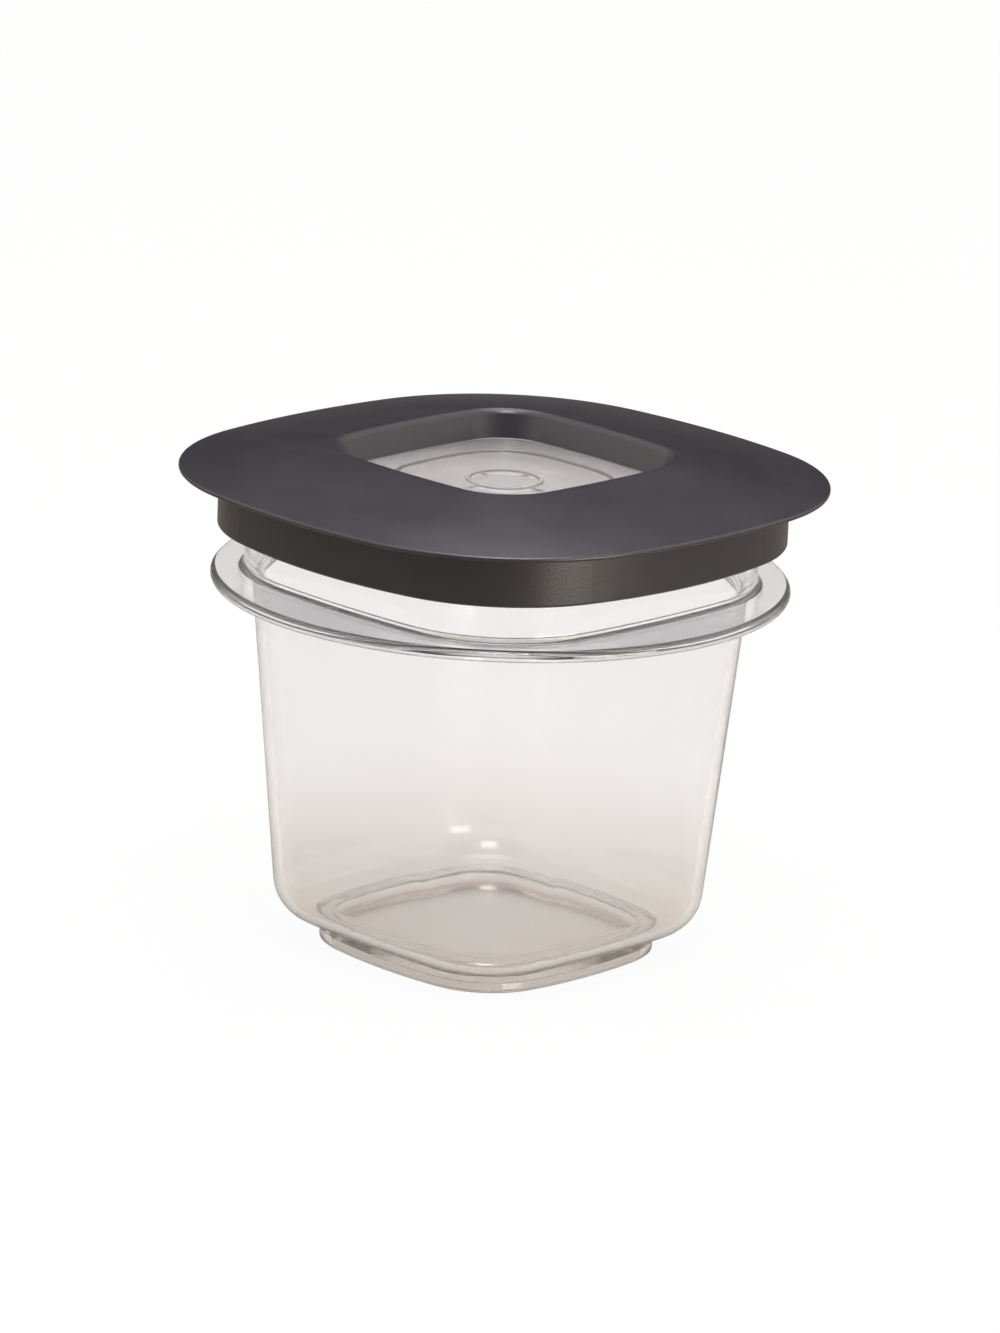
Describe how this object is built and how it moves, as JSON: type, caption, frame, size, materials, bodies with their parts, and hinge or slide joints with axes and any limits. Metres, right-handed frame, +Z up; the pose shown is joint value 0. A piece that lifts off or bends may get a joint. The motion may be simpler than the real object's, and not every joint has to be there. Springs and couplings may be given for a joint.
{
  "type": "food keeper",
  "caption": "Small clear food keeper: rounded-square tub on a low foot, round grip flange, and a dark lift-off lid with a sunken clear window.",
  "frame": {"origin": "centre of the foot on the ground", "axes": "+Z up along the tub; X and Y square to the tub's sides"},
  "size_m": [0.1078, 0.1078, 0.093],
  "materials": {
    "tub_clear": "clear moulded plastic, polished",
    "frame_dark": "fine matt texture, dark warm grey",
    "window_clear": "clear moulded plastic, polished",
    "seal_soft": "soft matt silicone"
  },
  "bodies": {
    "tub": {"tub": "tub_clear"},
    "lid": {"lid_frame": "frame_dark", "lid_window": "window_clear", "lid_seal": "seal_soft"}
  },
  "joints": [
    {"name": "lid_lift", "type": "slide", "parent": "tub", "child": "lid", "axis": [0, 0, 1], "range_m": [0, 0.04]}
  ]
}
